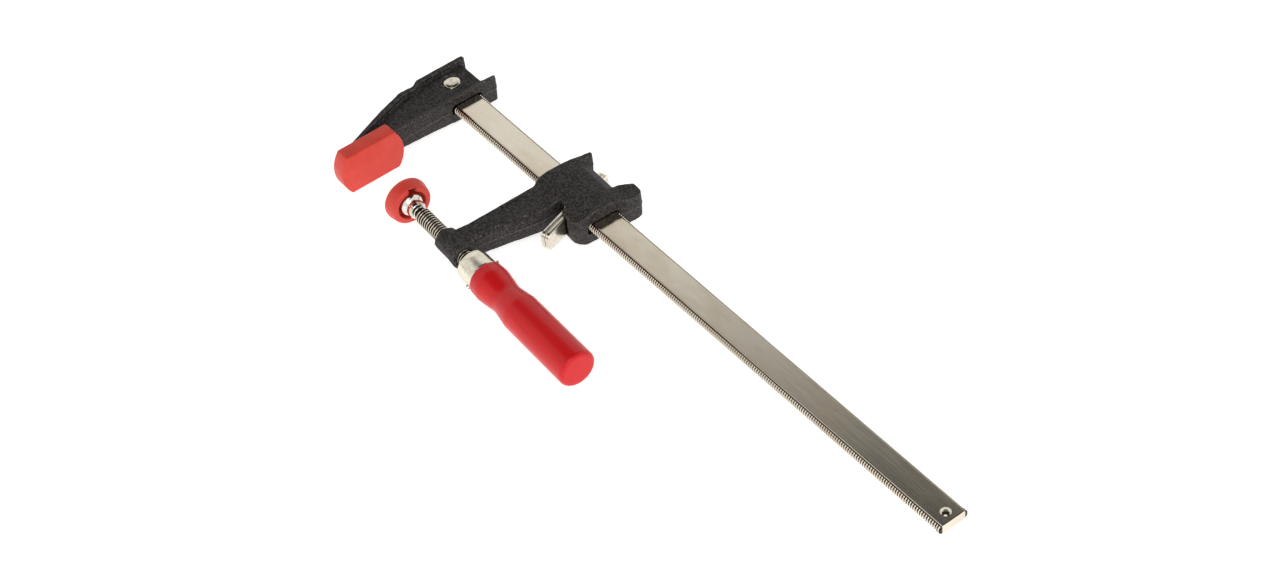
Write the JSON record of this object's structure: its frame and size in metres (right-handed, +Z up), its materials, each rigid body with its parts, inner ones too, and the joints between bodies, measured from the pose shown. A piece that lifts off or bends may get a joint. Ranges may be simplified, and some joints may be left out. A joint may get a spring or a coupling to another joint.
{
  "type": "f clamp",
  "caption": "Clutch-style bar clamp: flat toothed steel bar, black cast fixed and sliding jaws, red pads, swivel screw and red lacquered wooden handle.",
  "frame": {"origin": "under the middle of the whole clamp, at the height of its lowest point", "axes": "+X along the bar from the fixed jaw to the free end, -Y the way both arms reach, +Z up from the broad face of the bar"},
  "size_m": [0.447, 0.117, 0.027],
  "materials": {
    "bar_nickel": "satin nickel plating with fine brushing along the bar",
    "black_casting": "fine textured black powder coat",
    "plated_steel": "bright nickel plating",
    "clutch_plate_steel": "satin nickel plating",
    "thread_steel": "plated rolled thread",
    "ferrule_nickel": "satin nickel plating",
    "red_plastic": "moulded, slightly soft",
    "red_lacquered_wood": "turned hardwood under clear red lacquer"
  },
  "bodies": {
    "frame": {"bar": "bar_nickel", "fixed_jaw": "black_casting", "fixed_jaw_pin": "plated_steel", "fixed_jaw_pad": "red_plastic"},
    "jaw": {"sliding_jaw": "black_casting", "clutch_spring": "plated_steel"},
    "plate_inner": {"clutch_plate_inner": "clutch_plate_steel"},
    "plate_outer": {"clutch_plate_outer": "clutch_plate_steel"},
    "screw_carrier": {"swivel_retaining_ring": "plated_steel"},
    "screw": {"spindle": "thread_steel", "ferrule": "ferrule_nickel", "cross_pin": "plated_steel", "handle_grip": "red_lacquered_wood"},
    "swivel": {"swivel_socket": "plated_steel", "swivel_pad_cap": "red_plastic"}
  },
  "joints": [
    {"name": "jaw_slide", "type": "slide", "parent": "frame", "child": "jaw", "axis": [1, 0, 0], "range_m": [-0.0265, 0.2765]},
    {"name": "plate_inner_tilt", "type": "hinge", "parent": "jaw", "child": "plate_inner", "pos_m": [-0.08474, 0.03173, 0.0135], "axis": [0, 0, 1], "range_deg": [-12, 0], "stiffness_Nm_per_rad": 0.1, "springref_deg": 17.19, "deforming": ["clutch_spring"]},
    {"name": "plate_outer_tilt", "type": "hinge", "parent": "jaw", "child": "plate_outer", "pos_m": [-0.08206, 0.03257, 0.0135], "axis": [0, 0, 1], "range_deg": [-12, 0]},
    {"name": "screw_feed", "type": "slide", "parent": "jaw", "child": "screw_carrier", "axis": [0.9994, -0.0349, 0], "range_m": [-0.0055, 0.022]},
    {"name": "screw_turn", "type": "hinge", "parent": "screw_carrier", "child": "screw", "pos_m": [-0.08712, -0.04276, 0.0135], "axis": [0.9994, -0.0349, 0], "range_deg": [-990, 3960]},
    {"name": "pad_tilt", "type": "hinge", "parent": "screw_carrier", "child": "swivel", "pos_m": [-0.14768, -0.04065, 0.0135], "axis": [0, 0, 1], "range_deg": [-8, 8]}
  ],
  "couplings": [
    {"joint": "plate_outer_tilt", "follows": "plate_inner_tilt", "ratio": 1},
    {"joint": "screw_turn", "follows": "screw_feed", "rad_per_m": 3141.6}
  ]
}
